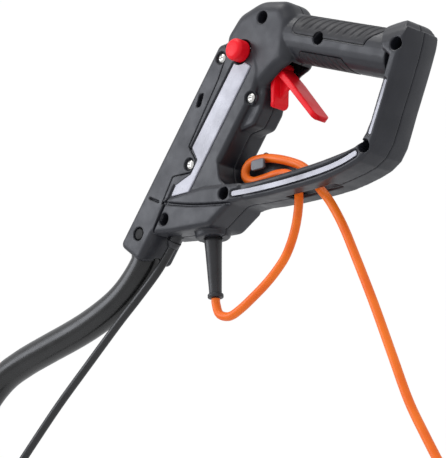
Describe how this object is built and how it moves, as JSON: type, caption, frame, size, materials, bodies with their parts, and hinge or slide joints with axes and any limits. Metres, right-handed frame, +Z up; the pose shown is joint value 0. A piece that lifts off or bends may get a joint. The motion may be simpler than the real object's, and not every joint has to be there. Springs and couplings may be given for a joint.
{
  "type": "push lawn mower operator handle",
  "caption": "Switch handle of a corded push lawn mower: closed grip with trigger and lock button on a bent tube, mains cord on a hook, motor lead.",
  "frame": {"origin": "on the side face of the tube's flattened lower end, where it is bolted to the machine's frame", "axes": "+X towards the operator, +Z up, +Y to the operator's right"},
  "size_m": [0.6023, 0.051, 0.4535],
  "materials": {
    "housing": "moulded satin",
    "pad": "matt soft grip",
    "red": "satin gloss",
    "orange": "satin",
    "tube_paint": "gloss",
    "steel": "zinc plated",
    "rubber": "satin",
    "white_plastic": "plain",
    "brass": "plain",
    "hook_grey": "satin",
    "lead_jacket": "satin",
    "wire_blue": "plain"
  },
  "bodies": {
    "housing": {"left_shell": "housing", "right_shell": "housing", "front_cover": "housing", "grip_pad_top_left": "pad", "grip_pad_top_right": "pad", "grip_pad_bottom_left": "pad", "grip_pad_bottom_right": "pad", "trigger_pin": "steel", "trigger_spring": "steel", "lock_spring": "steel", "switch_body": "rubber", "cross_bolt": "steel", "cross_nut": "steel", "handle_tube": "tube_paint", "strain_relief": "rubber", "mains_cord": "orange", "motor_lead": "lead_jacket", "lead_grommet": "rubber", "mains_plug": "rubber", "plug_pin_left": "brass", "plug_pin_right": "brass", "lead_connector": "rubber", "cord_hook": "hook_grey", "capacitor": "white_plastic", "terminal_block": "white_plastic", "cord_clamp": "rubber", "housing_screw_1": "steel", "housing_screw_2": "steel", "housing_screw_3": "steel", "housing_screw_4": "steel", "housing_screw_5": "steel", "housing_screw_6": "steel", "cover_screw_1": "steel", "inner_wire_1": "wire_blue", "cover_screw_2": "steel", "inner_wire_2": "wire_blue", "cover_screw_3": "steel", "inner_wire_3": "wire_blue", "hook_screw_1": "steel", "hook_screw_2": "steel"},
    "trigger": {"trigger_lever": "red"},
    "lock": {"lock_button": "red"},
    "plunger": {"switch_plunger": "white_plastic"}
  },
  "joints": [
    {"name": "trigger_squeeze", "type": "hinge", "parent": "housing", "child": "trigger", "pos_m": [0.38456, 0.004, 0.26581], "axis": [0, -1, 0], "range_deg": [0, 30], "stiffness_Nm_per_rad": 0.5, "springref_deg": -11.46},
    {"name": "button_push", "type": "slide", "parent": "housing", "child": "lock", "axis": [0, 1, 0], "range_m": [0, 0.006], "stiffness_N_per_m": 250, "springref_m": -0.003},
    {"name": "plunger_slide", "type": "slide", "parent": "housing", "child": "plunger", "axis": [-1, 0, 0], "range_m": [0, 0.0047]}
  ],
  "couplings": [
    {"joint": "plunger_slide", "follows": "trigger_squeeze", "m_per_rad": 0.00859}
  ]
}
